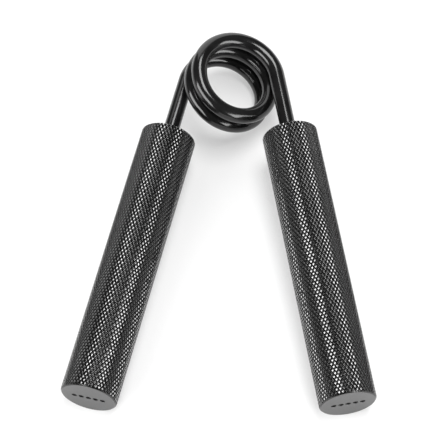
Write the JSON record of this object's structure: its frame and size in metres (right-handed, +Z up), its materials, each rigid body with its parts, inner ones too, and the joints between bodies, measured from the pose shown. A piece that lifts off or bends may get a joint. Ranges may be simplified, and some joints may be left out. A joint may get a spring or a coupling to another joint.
{
  "type": "hand grip strengthener",
  "caption": "Knurled aluminium bar handles on the legs of a coiled torsion spring, squeezed together in the hand to train grip.",
  "frame": {"origin": "middle of the object's footprint box, on the surface that it lies on", "axes": "+Z up from the surface, +Y from the free ends of the handles to the coil, +X from the left handle to the right one"},
  "size_m": [0.1076, 0.145, 0.0276],
  "materials": {
    "black_aluminium": "satin",
    "black_spring_steel": "gloss"
  },
  "bodies": {
    "left_side": {"left_handle": "black_aluminium", "left_spring_leg": "black_spring_steel", "spring_coil": "black_spring_steel"},
    "right_side": {"right_handle": "black_aluminium", "right_spring_leg": "black_spring_steel"}
  },
  "joints": [
    {"name": "squeeze", "type": "hinge", "parent": "left_side", "child": "right_side", "pos_m": [0, 0.05488, 0.01376], "axis": [-0.4063, 0.0276, -0.9133], "range_deg": [0, 26.9], "stiffness_Nm_per_rad": 42, "deforming": ["spring_coil"]}
  ]
}
